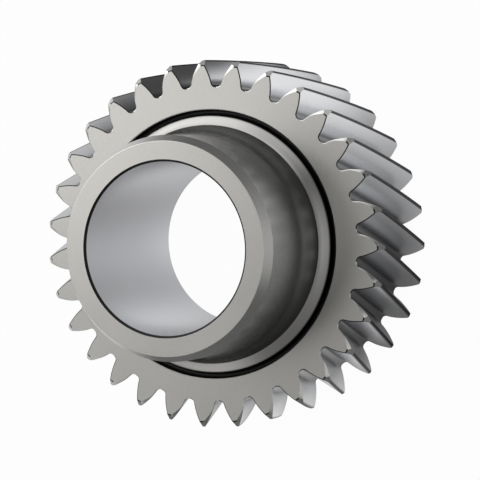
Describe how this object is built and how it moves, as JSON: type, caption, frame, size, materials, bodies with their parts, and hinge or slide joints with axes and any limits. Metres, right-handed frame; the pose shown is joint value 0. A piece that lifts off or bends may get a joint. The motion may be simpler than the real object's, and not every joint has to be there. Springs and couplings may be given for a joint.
{
  "type": "transmission gear",
  "caption": "Helical transmission gear: a wide toothed crown with a long chamfered hub standing on one face, a plain bore through both and a turned recess behind.",
  "frame": {"origin": "centre of the crown's rear face, on the bore's axis", "axes": "+Z along the bore's axis, from the crown's rear face to the hub's end"},
  "size_m": [0.1072, 0.1072, 0.069],
  "materials": {
    "steel": "ground and turned steel, bare and lightly oiled"
  },
  "bodies": {
    "root": {"helical_gear": "steel"}
  },
  "joints": []
}
